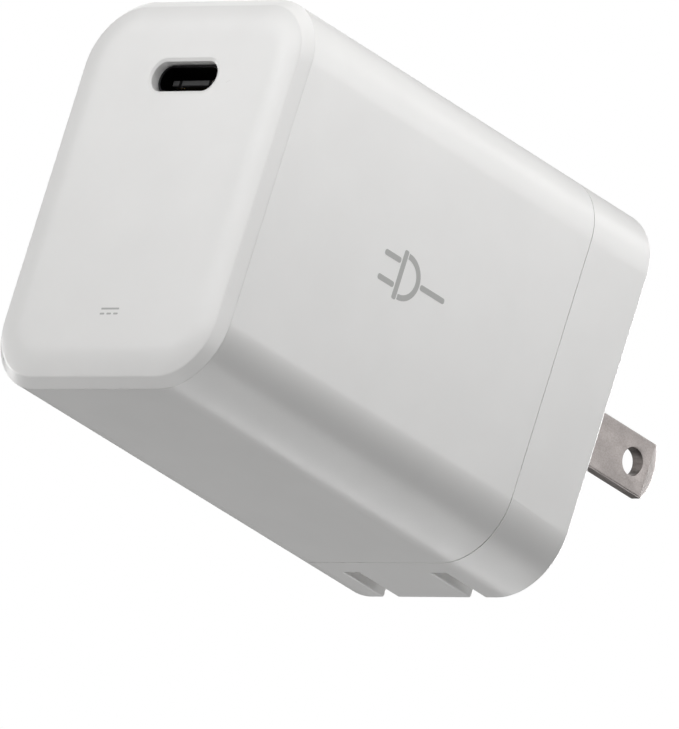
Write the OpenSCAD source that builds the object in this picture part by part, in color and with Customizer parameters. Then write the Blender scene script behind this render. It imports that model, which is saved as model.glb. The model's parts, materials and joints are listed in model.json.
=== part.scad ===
// Compact USB-C power adapter with two folding flat blades, as an assembly of separate pieces.
// Axes: +X is the right-hand side seen from the port, +Y points into the wall outlet, +Z is up.
// Origin: on the wall face, midway between the two blades. Units are millimetres.

/* [Body] */
// Width of the body, side to side
body_w = 33; // [32:0.5:40]
// Height of the body
body_h = 43.5; // [43:0.5:50]
// Depth of the body, from the wall face to the rim of the port face
body_d = 54.6; // [54:0.2:64]
// Radius of the four long corners
corner_r = 7.4; // [5:0.1:9]
// Wall thickness of the sleeve
wall = 1.8; // [1.6:0.1:2]
// Depth of the rear cap, from the wall face to the parting line
rear_cap_d = 9.1; // [9:0.1:10]
// Width of the hairline gap at each parting line
seam_gap = 0.12; // [0.05:0.01:0.2]
// Inset and depth of the bevel around the port face
rim_bevel = 1; // [0.6:0.1:1.4]
// How far the middle of the port face stands in front of its rim
face_dome = 0.5; // [0.2:0.1:0.8]

/* [Port] */
// Height of the port above the middle of the face
port_z = 12.7; // [8:0.1:13]
// Width of the opening in the face
port_w = 9.4; // [9.2:0.05:9.8]
// Height of the opening in the face
port_h = 3.35; // [3.35:0.05:3.8]
// Depth of the receptacle's mouth behind the face
port_recess = 0.9; // [0.4:0.1:1.2]

/* [Blades] */
// Length of a blade outside the wall face
blade_len = 18.3; // [15.9:0.1:18.3]
// Width of a blade
blade_w = 6.1; // [6:0.05:6.2]
// Thickness of a blade
blade_t = 1.5; // [1.4:0.05:1.6]
// Distance between the two blades, centre to centre
blade_pitch = 12.7; // [12.6:0.05:12.8]
// Diameter of the hole near a blade's tip
hole_d = 3; // [2.9:0.1:3.6]
// Distance from a blade's tip to the middle of its hole
hole_from_tip = 3.85; // [3.3:0.05:6]
// Width of the slot that a blade folds into
slot_w = 2.2; // [2:0.1:2.4]
// Depth of the slot that a blade folds into
slot_d = 6.45; // [6.4:0.05:6.7]
// Depth of the fold axis inside the wall face
pivot_d = 3.25; // [3.25:0.05:3.3]
// Radius of the carrier's round barrel
barrel_r = 1.85; // [1.8:0.05:1.85]

/* [Hidden] */
$fn = 48;
eps = 0.01;

white = "whitesmoke";
steel = "silver";
copper = "peru";
board_green = "seagreen";

// Shells
spigot_fit = 0.05;                                  // gap between a cap's spigot and the sleeve
spigot_t = 1;                                       // thickness of a spigot
spigot_l = 3;                                       // how far a spigot reaches into the sleeve
cap_wall = wall + spigot_fit + spigot_t;            // a cap's wall runs on into its spigot
back_wall = 1.3;                                    // thickness of the wall face
face_wall = 1.6;                                    // thickness of the port face behind its rim
rim_y = -body_d;                                    // rim of the port face
face_y = rim_y - face_dome;                         // middle of the port face
sleeve_front = rim_y + rim_bevel;                   // parting line behind the bevel
dome_steps = [[0, 0], [1, 0.56], [2, 0.86], [3.2, 1]]; // inward step, share of the dome's height

// Folding prongs
pivot = [-pivot_d, 0];                              // fold axis in the Y-Z plane
blade_x = blade_pitch / 2;
tip_r = 4.5;                                        // radius of the arched tip, seen from the side
tip_bevel_l = 1.4;                                  // length of the slope at the tip
tip_bevel_t = 0.45;                                 // how much each slope thins the tip
tail_r = 4.4;                                       // contact tail's radius about the fold axis
tail_w = 3;
tail_fit = 0.05;                                    // gap between a tail and its contact spring
key = 2.4;                                          // square drive between carrier and blade
key_fit = 0.01;
bearing_fit = 0.05;
rib_t = 0.9;                                        // walls on each side of a blade's slot
rib_top = 5.5;
trough_floor = 0.8;
rib_y = -slot_d - trough_floor;                     // front edge of the ribs
floor_top = -4.2;                                   // the bracket covers the slot above this height
slot_top = blade_w / 2 + 0.2;
bracket_t = 0.78;
bracket_fit = 0.02;
bracket_y = rib_y - bracket_fit;                    // face of the bracket that sits on the ribs
bracket_front = bracket_y - bracket_t;
bracket_w = 21.2;
bracket_top = 8.8;
bracket_tongue = 4.2;                               // half width of the lower part, behind the leaf spring
bracket_window = 2.4;                               // how far the openings for the tails reach down
rib_pad = 0.6;                                      // the bracket's pads stop this far from the fold axis
barrel_end = bracket_w / 2 - 0.4;                   // the carrier's outer ends
cam_w = 5.2;
leaf_t = 0.2;
leaf_fit = 0.02;
leaf_z = 6.6;                                       // half length of the leaf spring
leaf_seat = 1;
leaf_side = 0.2;                                    // the leaf spring is this much narrower on each side
contact_t = 0.25;
contact_w = 1.8;
contact_foot = [5, 8.6];                            // foot of a contact spring, along Z
contact_foot_w = 3.4;

// Receptacle
shell_w = 8.94;
shell_h = 3.2;
shell_t = 0.3;
shell_y = face_y + port_recess;                     // mouth of the receptacle
tongue_w = 6.69;
tongue_t = 0.7;
tongue_recess = 1;                                  // depth of the tongue's nose in the shell
contact_pitch = 0.5;
base_l = 1.4;
receptacle_fit = 0.02;
foot_x = 2.6;                                       // the shell's four soldered feet
foot_w = 1;
shell_l = 7.9;                                      // from the mouth to the output board
contact_w_usb = 0.26;
contact_t_usb = 0.05;

// Boards
output_board_y = shell_y + shell_l;                  // face of the output board that holds the receptacle
output_board_t = 1.2;
board_t = 1;
board_x = -11;                                      // component side of the main board
board_front = output_board_y + output_board_t + 0.8;
board_rear = -13.5;
board_z = 16.9;
board_tab = 4;                                      // width of the tabs that join the two boards
board_tab_z = [-9, 9];
lead_r = 0.35;
lead_fit = 0.1;

// Transformer, its winding axis along X
core_x = [-9.6, 9.4];
core_y = [-42.5, -24.5];
core_z = [-12.4, 6];
core_plate = 3.4;
post_r = 4;
winding_r = [5, 8];
bobbin_t = 0.7;
tape_t = 0.3;
core_mid_y = (core_y[0] + core_y[1]) / 2;
core_mid_z = (core_z[0] + core_z[1]) / 2;

// Other parts on the main board, as [y, z] of their middle
bulk_r = 5;
bulk_l = 21.4;
bulk_front_at = [-36.5, 12.6];
bulk_rear_at = [-25, 12.6];
choke_at = [-17.6, -11.4];
choke_r = 4.2;                                      // middle radius of the toroid
choke_section = [2.4, 4];                           // across the ring, along its axis
choke_wire = 0.65;
choke_turns = 7;
choke_turn_step = 22;
stand_off = 0.1;                                    // gap between a part and the board
wire_r = 0.65;
wire_x = -9.9;                                      // where the mains wires turn down to the board
wire_y = -14.2;
wire_z = [7.4, 0];                                  // heights of the live and neutral joints on the board
wire_turn_y = -10.3;                                // where the neutral wire crosses to the board's side
neutral_foot_z = 6.6;
wire_gap = 0.05;                                    // gap at each end, in place of the solder

// Leads as [y, z], grouped by part
transformer_leads = [for (z = [core_z[0] + 1.2, core_z[1] - 1.2], y = [-40 : 3.25 : -27]) [y, z]];
bulk_leads = [for (at = [bulk_front_at, bulk_rear_at], s = [-1, 1]) [at[0] + 2.5 * s, at[1]]];
choke_leads = [for (s = [-1, 1], q = [-1, 1]) [choke_at[0] + 1.5 * s, choke_at[1] + 2 * q]];
box_leads = [[-18, -3], [-18, 2.6], [-17, 6.4], [-17, 11.8], [-16.5, 14.1], [-16.5, 16]];
bridge_leads = [for (z = [-13 : 2.8 : -4.6]) [-22.7, z]];
disc_leads = [[-32.5, -15.8], [-27.5, -15.8]];
opto_leads = [for (y = [-40.5, -37], z = [-16.2, -13.2]) [y, z]];
all_leads = concat(transformer_leads, bulk_leads, choke_leads, box_leads, bridge_leads,
                   disc_leads, opto_leads);

// Sheets around the electronics
sheet_t = 0.3;
sheet_w = body_w - 2 * cap_wall - 0.3;
sheet_h = body_h - 2 * cap_wall - 0.3;
spreader_gap = sheet_t + 0.15;
spreader_t = 0.3;

// ---------- shared shapes ----------

module rounded_rect(w, h, r) {
    square([w - 2 * r, h], center = true);
    square([w, h - 2 * r], center = true);
    for (x = [-1, 1], z = [-1, 1])
        translate([x * (w / 2 - r), z * (h / 2 - r)]) circle(r);
}

module stadium(w, h) {
    square([w - h, h], center = true);
    for (x = [-1, 1]) translate([x * (w - h) / 2, 0]) circle(h / 2);
}

// A flat shape drawn in X-Z, extruded along Y from y0 to y1
module along_y(y0, y1) {
    translate([0, y1, 0]) rotate([90, 0, 0]) linear_extrude(y1 - y0) children();
}

// A flat shape drawn in Y-Z, extruded along X from x0 to x1
module along_x(x0, x1) {
    translate([x0, 0, 0]) rotate([90, 0, 90]) linear_extrude(x1 - x0) children();
}

// A box given by its lowest and highest corners
module box(low, high) {
    translate(low) cube(high - low);
}

// A cylinder along X about a point of the Y-Z plane
module rod_x(at, r, x0, x1) {
    translate([x0, at[0], at[1]]) rotate([0, 90, 0]) cylinder(r = r, h = x1 - x0);
}

// A square tube of the body's outline, inset from the outside by the given amount
module outline(inset) {
    rounded_rect(body_w - 2 * inset, body_h - 2 * inset, corner_r - inset);
}

// A round cable that runs through a list of points, a little thicker at each bend
module cable(points, r) {
    bend_r = 1.04 * r;
    for (i = [0 : len(points) - 2]) {
        run = points[i + 1] - points[i];
        translate(points[i])
            rotate([0, acos(run[2] / norm(run)), atan2(run[1], run[0])])
                cylinder(r = r, h = norm(run), $fn = 24);
    }
    for (i = [1 : len(points) - 2]) translate(points[i]) sphere(bend_r, $fn = 24);
}

// ---------- casing ----------

module face_ring(inset, y) {
    along_y(y, y + eps) rounded_rect(body_w - 2 * inset, body_h - 2 * inset, corner_r - inset, $fn = 64);
}

module front_cap() {
    color(white) difference() {
        union() {
            hull() {
                face_ring(0, sleeve_front - eps);
                for (s = dome_steps) face_ring(rim_bevel + s[0], rim_y - s[1] * face_dome);
            }
            along_y(sleeve_front - eps, sleeve_front + spigot_l) outline(wall + spigot_fit);
        }
        along_y(rim_y + face_wall, sleeve_front + spigot_l + 1) outline(cap_wall);
        translate([0, 0, port_z]) along_y(face_y - 1, sleeve_front + 1) stadium(port_w, port_h);
    }
}

module main_sleeve() {
    color(white) along_y(sleeve_front + seam_gap / 2, -rear_cap_d - seam_gap / 2) difference() {
        outline(0);
        outline(wall);
    }
}

// Walls on both sides of each slot, with the floor that closes the slot's lower part
module slot_ribs() {
    for (s = [-1, 1], e = [-1, 1])
        translate([s * blade_x + e * (slot_w + rib_t) / 2, 0, 0])
            box([-rib_t / 2, rib_y, -body_h / 2 + 1], [rib_t / 2, -eps, rib_top]);
    for (s = [-1, 1])
        translate([s * blade_x, 0, 0])
            box([-slot_w / 2 - rib_t, rib_y, -body_h / 2 + 1], [slot_w / 2 + rib_t, -slot_d, floor_top]);
}

// Open-fronted bearings that the carrier drops into
module bearing_notches() {
    rod_x(pivot, barrel_r + bearing_fit, -body_w / 2 + cap_wall, body_w / 2 - cap_wall);
    box([-body_w / 2 + cap_wall, rib_y - 1, -barrel_r - bearing_fit],
        [body_w / 2 - cap_wall, pivot[0], barrel_r + bearing_fit]);
}

module rear_cap() {
    color(white) difference() {
        union() {
            difference() {
                union() {
                    along_y(-rear_cap_d + seam_gap / 2, 0) outline(0);
                    along_y(-rear_cap_d - spigot_l, -rear_cap_d + 1) outline(wall + spigot_fit);
                }
                along_y(-rear_cap_d - spigot_l - 1, -back_wall) outline(cap_wall);
            }
            difference() {
                slot_ribs();
                bearing_notches();
            }
        }
        for (s = [-1, 1])
            translate([s * blade_x, 0, 0])
                box([-slot_w / 2, -slot_d, -body_h / 2 - 1], [slot_w / 2, 1, slot_top]);
    }
}

// ---------- folding prongs ----------

// Side view of a blade: arched tip, shank, round root and contact tail
module blade_side() {
    difference() {
        union() {
            intersection() {
                translate([pivot[0], -blade_w / 2]) square([blade_len + pivot_d, blade_w]);
                translate([blade_len - tip_r, 0]) circle(tip_r, $fn = 96);
            }
            translate([pivot[0], -blade_w / 2]) square([blade_len + pivot_d - tip_r, blade_w]);
            translate(pivot) circle(blade_w / 2);
            intersection() {
                translate(pivot) circle(tail_r);
                translate([pivot[0] - tail_r, -tail_w / 2]) square([tail_r, tail_w]);
            }
        }
        translate(pivot) square(key, center = true);
        translate([blade_len - hole_from_tip, 0]) circle(d = hole_d);
    }
}

// Edge view of a blade, with its bevelled tip
module blade_edge() {
    t = blade_t / 2;
    back = pivot[0] - tail_r - 1;
    polygon([[-t, back], [t, back], [t, blade_len - tip_bevel_l], [t - tip_bevel_t, blade_len],
             [tip_bevel_t - t, blade_len], [-t, blade_len - tip_bevel_l]]);
}

module blade() {
    color(steel) intersection() {
        along_x(-blade_t, blade_t) blade_side();
        translate([0, 0, -blade_w]) linear_extrude(2 * blade_w) blade_edge();
    }
}

module live_blade() {
    translate([blade_x, 0, 0]) blade();
}

module neutral_blade() {
    translate([-blade_x, 0, 0]) blade();
}

// The moulded shaft that joins the two blades; its square cam gives the two click positions
module prong_carrier() {
    inner = blade_x - blade_t / 2 - bracket_fit;
    outer = blade_x + blade_t / 2 + bracket_fit;
    drive = key / 2 - key_fit;
    color("dimgray") {
        rod_x(pivot, barrel_r, -inner, inner);
        rod_x(pivot, barrel_r, -barrel_end, -outer);
        rod_x(pivot, barrel_r, outer, barrel_end);
        box([-outer - eps, pivot[0] - drive, -drive], [outer + eps, pivot[0] + drive, drive]);
        box([-cam_w / 2, pivot[0] - barrel_r, -barrel_r], [cam_w / 2, pivot[0], 0]);
    }
}

// Cover that holds the carrier in its bearings and carries the three springs
module prong_bracket() {
    color("lightgray") difference() {
        union() {
            box([-bracket_w / 2, bracket_front, floor_top + 0.1], [bracket_w / 2, bracket_y, bracket_top]);
            box([-bracket_tongue, bracket_front, -leaf_z], [bracket_tongue, bracket_y, 0]);
            for (s = [-1, 1], e = [-1, 1])
                translate([s * blade_x + e * (slot_w + rib_t) / 2, 0, 0])
                    box([-rib_t / 2, bracket_y - eps, -barrel_r], [rib_t / 2, pivot[0] - rib_pad, barrel_r]);
            for (z = [-leaf_z, leaf_z - leaf_seat])
                box([-cam_w / 2, bracket_y - eps, z],
                    [cam_w / 2, pivot[0] - barrel_r - leaf_fit - leaf_t, z + leaf_seat]);
        }
        rod_x(pivot, barrel_r + bearing_fit, -bracket_w, bracket_w);
        for (s = [-1, 1])
            translate([s * blade_x, 0, 0])
                box([-slot_w / 2, bracket_front - 1, -bracket_window],
                    [slot_w / 2, bracket_y + 1, tail_r + 0.3]);
    }
}

// Bronze finger that presses on a blade's tail while the blade is out
module contact_spring() {
    bump = pivot[0] - tail_r - tail_fit;
    back = bracket_front;
    color("goldenrod") {
        box([-contact_foot_w / 2, back - contact_t, contact_foot[0]],
            [contact_foot_w / 2, back, contact_foot[1]]);
        along_x(-contact_w / 2, contact_w / 2)
            polygon([[back, 5.2], [back, 3.6], [bump, 0.6], [bump, -0.6], [back, -2],
                     [back - contact_t, -2], [bump - contact_t, -0.55], [bump - contact_t, 0.55],
                     [back - contact_t, 3.5], [back - contact_t, 5.2]]);
    }
}

module live_contact_spring() {
    translate([blade_x, 0, 0]) contact_spring();
}

module neutral_contact_spring() {
    translate([-blade_x, 0, 0]) contact_spring();
}

module detent_spring() {
    y = pivot[0] - barrel_r - leaf_fit;
    half = cam_w / 2 - leaf_side;
    color(steel) box([-half, y - leaf_t, -leaf_z], [half, y, leaf_z]);
}

module live_wire() {
    y = bracket_front - contact_t;
    color("saddlebrown")
        cable([[blade_x, y - wire_gap, wire_z[0]], [blade_x, wire_y, wire_z[0]],
               [board_x + wire_gap, wire_y, wire_z[0]]], wire_r);
}

module neutral_wire() {
    y = bracket_front - contact_t;
    color("steelblue")
        cable([[-blade_x, y - wire_gap, neutral_foot_z], [-blade_x, wire_turn_y, neutral_foot_z],
               [wire_x, wire_turn_y, wire_z[1]], [wire_x, wire_y, wire_z[1]],
               [board_x + wire_gap, wire_y, wire_z[1]]], wire_r);
}

// ---------- receptacle and output board ----------

module usb_shell() {
    color("dimgray") translate([0, 0, port_z]) {
        along_y(shell_y, output_board_y) difference() {
            stadium(shell_w, shell_h);
            stadium(shell_w - 2 * shell_t, shell_h - 2 * shell_t);
        }
        for (x = [-1, 1], z = [-1, 1])
            translate([x * foot_x, 0, z * (shell_h - shell_t) / 2])
                box([-foot_w / 2, output_board_y - 1, -shell_t / 2],
                    [foot_w / 2, output_board_y + output_board_t + 0.3, shell_t / 2]);
    }
}

module usb_insulator() {
    gap = 2 * (shell_t + receptacle_fit);
    color("black") translate([0, 0, port_z]) {
        along_y(output_board_y - base_l, output_board_y) stadium(shell_w - gap, shell_h - gap);
        along_y(shell_y + tongue_recess, output_board_y - base_l + eps)
            square([tongue_w, tongue_t], center = true);
    }
}

module usb_contacts() {
    color("gold") translate([0, 0, port_z]) for (i = [-5.5 : 5.5], s = [-1, 1])
        translate([i * contact_pitch, 0, s * (tongue_t / 2 + 0.03)])
            box([-contact_w_usb / 2, shell_y + tongue_recess + 0.4, -contact_t_usb / 2],
                [contact_w_usb / 2, output_board_y - base_l - 0.05, contact_t_usb / 2]);
}

module output_board() {
    color(board_green) difference() {
        along_y(output_board_y, output_board_y + output_board_t)
            lining(sheet_t + 0.4);
        for (x = [-1, 1], z = [-1, 1])
            translate([x * foot_x, 0, port_z + z * (shell_h - shell_t) / 2])
                box([-foot_w / 2 - lead_fit, output_board_y - 1, -shell_t / 2 - lead_fit],
                    [foot_w / 2 + lead_fit, output_board_y + 2, shell_t / 2 + lead_fit]);
        for (z = board_tab_z)
            box([board_x - board_t - lead_fit, output_board_y - 1, z - board_tab / 2 - lead_fit],
                [board_x + lead_fit, output_board_y + 2, z + board_tab / 2 + lead_fit]);
    }
}

module chip(size, at) {
    color("black") translate(at) translate(-size / 2) cube(size);
}

module pd_controller() {
    chip([4, 0.8, 4], [0, output_board_y - 0.42, 5.6]);
}

module sync_rectifier() {
    chip([5, 1, 6], [-1.5, output_board_y - 0.52, -2.6]);
}

module output_capacitors() {
    color(steel) for (x = [-1, 1])
        translate([x * 4.6, output_board_y - 0.05, -11.4]) rotate([90, 0, 0]) {
            cylinder(r = 3.15, h = 1);
            cylinder(r = 2.9, h = 5.6);
            translate([0, 0, 1.6]) cylinder(r = 3.15, h = 3.9);
        }
}

// ---------- main board ----------

module main_board() {
    color(board_green) difference() {
        union() {
            box([board_x - board_t, board_front, -board_z], [board_x, board_rear, board_z]);
            for (z = board_tab_z)
                box([board_x - board_t, output_board_y - 0.2, z - board_tab / 2],
                    [board_x, board_front + 1, z + board_tab / 2]);
        }
        for (at = all_leads) rod_x(at, lead_r + lead_fit, board_x - board_t - 1, board_x + 1, $fn = 24);
    }
}

module component_leads() {
    top = board_x + stand_off / 2;
    color("silver") for (at = all_leads) rod_x(at, lead_r, board_x - board_t - 0.5, top, $fn = 24);
}

module core_half() {
    half = (core_x[1] - core_x[0]) / 2 - 0.02;
    size_y = core_y[1] - core_y[0];
    size_z = core_z[1] - core_z[0];
    color("darkslategray") {
        difference() {
            box([0, -size_y / 2, -size_z / 2], [half, size_y / 2, size_z / 2]);
            rod_x([0, 0], winding_r[1] + tape_t + 0.2, core_plate, half + 1);
            box([core_plate, -size_y, -5], [half + 1, size_y, 5]);
        }
        rod_x([0, 0], post_r, core_plate - eps, half);
    }
}

module transformer_core_lower() {
    translate([core_x[0], core_mid_y, core_mid_z]) core_half();
}

module transformer_core_upper() {
    translate([core_x[1], core_mid_y, core_mid_z]) mirror([1, 0, 0]) core_half();
}

// Span of the winding window along X
window = [core_x[0] + core_plate + 0.1, core_x[1] - core_plate - 0.1];

module ring_x(r0, r1, x0, x1) {
    difference() {
        rod_x([core_mid_y, core_mid_z], r1, x0, x1);
        rod_x([core_mid_y, core_mid_z], r0, x0 - 1, x1 + 1);
    }
}

module transformer_bobbin() {
    color("black") {
        ring_x(post_r + 0.1, winding_r[0] - 0.05, window[0], window[1]);
        ring_x(post_r + 0.1, winding_r[1], window[0], window[0] + bobbin_t);
        ring_x(post_r + 0.1, winding_r[1], window[1] - bobbin_t, window[1]);
    }
}

module transformer_winding() {
    gap = bobbin_t + 0.05;
    color(copper) ring_x(winding_r[0], winding_r[1] - 0.1, window[0] + gap, window[1] - gap);
}

module transformer_tape() {
    edge = 0.2;
    color("gold") ring_x(winding_r[1] + 0.02, winding_r[1] + tape_t, window[0] + edge, window[1] - edge);
}

module transformer_base() {
    color("black")
        box([board_x + stand_off, core_y[0], core_z[0]], [core_x[0] - 0.05, core_y[1], core_z[1]]);
}

// Electrolytic can standing on the board, with its crimp groove
module bulk_capacitor(at) {
    x0 = board_x + stand_off;
    color("midnightblue") difference() {
        rod_x(at, bulk_r, x0, x0 + bulk_l);
        difference() {
            rod_x(at, bulk_r + 1, x0 + 1.8, x0 + 2.6);
            rod_x(at, bulk_r - 0.45, x0, x0 + 4);
        }
        for (a = [0, 90])
            translate([x0 + bulk_l, at[0], at[1]]) rotate([a, 0, 0]) cube([0.4, 0.4, 6], center = true);
    }
}

module bulk_capacitor_front() {
    bulk_capacitor(bulk_front_at);
}

module bulk_capacitor_rear() {
    bulk_capacitor(bulk_rear_at);
}

choke_x = board_x + 2 * stand_off + choke_r + choke_section[0] / 2 + choke_wire;

module choke_core() {
    color("darkgreen") translate([choke_x, choke_at[0], choke_at[1]]) rotate([90, 0, 0])
        rotate_extrude() translate([choke_r, 0]) square(choke_section, center = true);
}

// One turn of flat wire around the ring's section
module choke_turn() {
    fit = 0.05;
    inner = [choke_section[0] + fit, choke_wire, choke_section[1] + fit];
    translate([choke_r, 0, 0]) difference() {
        cube(inner + [2 * choke_wire, 0, 2 * choke_wire], center = true);
        cube(inner + [0, 1, 0], center = true);
    }
}

module choke_windings() {
    color(copper) translate([choke_x, choke_at[0], choke_at[1]]) rotate([90, 0, 0])
        for (side = [0, 180], i = [0 : choke_turns - 1])
            rotate([0, 0, side + (i - (choke_turns - 1) / 2) * choke_turn_step]) choke_turn();
}

module x_capacitor() {
    color("gold") box([board_x + stand_off, -21, -4.8], [-1, -15.2, 4.8]);
}

module fuse() {
    color("black") box([board_x + stand_off, -19, 5.2], [-3, -15.2, 12.9]);
}

module thermistor() {
    color("darkgreen") translate([board_x + 4.2, -16.7, 15.2]) rotate([90, 0, 0])
        translate([0, 0, -1.4]) cylinder(r = 2, h = 2.8);
}

module y_capacitor() {
    color("royalblue") translate([board_x + 4.8, -30, -15.8]) cylinder(r = 4, h = 2.8, center = true);
}

module bridge_rectifier() {
    color("black") box([board_x + 1, -23.8, -14.4], [0, -21.6, -3.2]);
}

module optocoupler() {
    color("white") box([board_x + 0.4, -42, -17.4], [board_x + 3.8, -35.5, -12.8]);
}

module gan_switch() {
    chip([0.85, 8, 8], [board_x - board_t - 0.45, -33, -3]);
}

// Copper shield bent around the right-hand side of the electronics
module heat_spreader() {
    color(copper) along_y(board_front + 0.5, board_rear - 0.5) intersection() {
        difference() {
            lining(spreader_gap);
            lining(spreader_gap + spreader_t);
        }
        translate([5, -body_h / 2]) square([body_w, body_h]);
    }
}

module thermal_pad() {
    fit = 0.02;
    x = sheet_w / 2 - spreader_gap - spreader_t;
    color("lightsteelblue")
        box([core_x[1] + fit, core_y[0] + 1, core_z[0] + 1], [x - fit, core_y[1] - 1, core_z[1] - 1]);
}

// The insulating sheet's outline, inset by the given amount
module lining(inset) {
    rounded_rect(sheet_w - 2 * inset, sheet_h - 2 * inset, corner_r - cap_wall - inset);
}

module insulating_sleeve() {
    color("khaki") along_y(output_board_y - 1.8, -12.9) difference() {
        lining(0);
        lining(sheet_t);
    }
}

front_cap();
main_sleeve();
rear_cap();
prong_bracket();
prong_carrier();
live_blade();
neutral_blade();
live_contact_spring();
neutral_contact_spring();
detent_spring();
live_wire();
neutral_wire();
usb_shell();
usb_insulator();
usb_contacts();
output_board();
pd_controller();
sync_rectifier();
output_capacitors();
main_board();
transformer_core_lower();
transformer_core_upper();
transformer_bobbin();
transformer_winding();
transformer_tape();
transformer_base();
bulk_capacitor_front();
bulk_capacitor_rear();
choke_core();
choke_windings();
x_capacitor();
y_capacitor();
fuse();
thermistor();
bridge_rectifier();
optocoupler();
gan_switch();
component_leads();
thermal_pad();
heat_spreader();
insulating_sleeve();
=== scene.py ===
"""Looks of a compact USB-C power adapter with folding blades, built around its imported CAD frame."""

import json
import math

import bmesh
import bpy
from mathutils import Matrix, Vector


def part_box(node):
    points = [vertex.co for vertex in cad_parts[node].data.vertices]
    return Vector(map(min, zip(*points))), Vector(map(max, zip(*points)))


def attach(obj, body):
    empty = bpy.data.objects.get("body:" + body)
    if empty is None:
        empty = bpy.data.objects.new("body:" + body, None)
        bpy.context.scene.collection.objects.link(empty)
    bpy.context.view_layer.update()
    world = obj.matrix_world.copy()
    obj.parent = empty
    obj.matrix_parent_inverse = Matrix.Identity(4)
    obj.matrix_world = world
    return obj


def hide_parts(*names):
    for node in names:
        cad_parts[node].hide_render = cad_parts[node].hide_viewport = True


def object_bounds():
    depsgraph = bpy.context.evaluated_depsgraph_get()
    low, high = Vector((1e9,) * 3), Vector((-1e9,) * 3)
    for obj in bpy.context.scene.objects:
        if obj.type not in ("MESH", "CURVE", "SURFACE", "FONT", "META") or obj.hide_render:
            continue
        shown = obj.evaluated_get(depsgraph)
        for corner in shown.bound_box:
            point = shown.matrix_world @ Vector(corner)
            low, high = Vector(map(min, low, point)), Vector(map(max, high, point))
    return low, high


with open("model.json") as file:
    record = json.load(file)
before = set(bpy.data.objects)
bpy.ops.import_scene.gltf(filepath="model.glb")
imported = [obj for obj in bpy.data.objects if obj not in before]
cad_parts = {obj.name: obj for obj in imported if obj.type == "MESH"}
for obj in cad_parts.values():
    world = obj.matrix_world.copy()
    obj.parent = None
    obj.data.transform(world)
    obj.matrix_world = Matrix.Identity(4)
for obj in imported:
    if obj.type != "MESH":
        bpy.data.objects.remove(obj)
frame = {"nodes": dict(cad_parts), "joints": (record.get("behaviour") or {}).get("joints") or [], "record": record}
cad_low, cad_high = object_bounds()

MM = 0.001
WELD = 1e-7              # points closer than this are one point
CAD_WELD = 1e-6          # the same for the meshes that come from the CAD
OVER = 1 * MM            # how far a cutting tool reaches past what it cuts
CASING = "casing"
PRONGS = "prongs"

# ---------------------------------------------------------------- sizes, from the frame

sleeve_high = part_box("main_sleeve")[1]
face_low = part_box("front_cap")[0]
rear_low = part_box("rear_cap")[0]
blade_low, blade_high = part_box("live_blade")
shell_low, shell_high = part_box("usb_shell")
insulator_low, insulator_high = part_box("usb_insulator")
contacts_low, contacts_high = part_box("usb_contacts")
hinge = next(j for j in frame["joints"] if j["name"] == "prong_fold")
holes = next(m for m in frame["record"]["mounts"] if m["name"] == "blade_holes")

HALF_W = sleeve_high.x
HALF_H = sleeve_high.z
CORNER_R = 7.4 * MM
WALL = 1.8 * MM
FACE_Y = face_low.y
RIM_Y = FACE_Y + 0.5 * MM          # the face's dome ends here
BEVEL = 1 * MM
CAP_EDGE_Y = RIM_Y + BEVEL         # parting line behind the port face
CAP_Y = -9.1 * MM                  # parting line in front of the wall face
FRONT_SEAM = 0.005 * MM            # half of the open hairline behind the port face
FRONT_SEAM_EDGE = 0.02 * MM        # rounding of its edges
REAR_SEAM = 0.04 * MM              # half of the open hairline in front of the wall-side cap
SEAM_EDGE = 0.05 * MM              # rounding of its edges
DOME_L = 3.2 * MM                  # width of the face's curved margin
FACE_T = 1.6 * MM                  # thickness of the port face
SPIGOT_L = 3 * MM                  # how far the port face's spigot reaches into the sleeve
SPIGOT_IN = WALL + 0.05 * MM       # outside of both spigots, with a little play in the sleeve
INNER = SPIGOT_IN + 1 * MM         # inside of both spigots
BACK_WALL = 1.3 * MM               # thickness of the wall face

PORT_Z = (shell_low.z + shell_high.z) / 2
PORT_HALF_W = 4.7 * MM
PORT_HALF_H = 1.675 * MM
PORT_LIP = 0.36 * MM                # width of the shallow chamfer around the port
PORT_LIP_D = 0.15 * MM              # and its depth
PORT_STEPS = 16                     # steps in each quarter of the port's outlines

BLADE_X = (blade_low.x + blade_high.x) / 2
BLADE_T = blade_high.x - blade_low.x
BLADE_HALF_W = blade_high.z
BLADE_TIP = blade_high.y
PIVOT_Y = hinge["pos_m"][1]
HOLE_Y = holes["pos_m"][1]
HOLE_R = holes["dims"]["r_mm"] * MM
SLOT_HALF_W = 1.1 * MM
SLOT_D = 6.45 * MM
SLOT_TOP = BLADE_HALF_W + 0.2 * MM
COLLAR_L = 1.1 * MM                 # collar at the root of the port's tongue, clear of the contacts

# Outlines seen along Y, as (half width, half height, corner radius, height of the middle)
BODY = (HALF_W, HALF_H, CORNER_R, 0.0)
PORT = (PORT_HALF_W, PORT_HALF_H, PORT_HALF_H, PORT_Z)
SHELL = (shell_high.x, (shell_high.z - shell_low.z) / 2, (shell_high.z - shell_low.z) / 2, PORT_Z)


# ---------------------------------------------------------------- mesh helpers

def arc(centre, radius, start, end, steps):
    """Points on an arc, from one angle to another in degrees."""
    angles = [math.radians(start + (end - start) * k / steps) for k in range(steps + 1)]
    return [(centre[0] + radius * math.cos(a), centre[1] + radius * math.sin(a)) for a in angles]


def circle(centre, radius, steps):
    """Points around a full circle, with none twice."""
    return arc(centre, radius, 0, 360 - 360 / steps, steps - 1)


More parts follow.
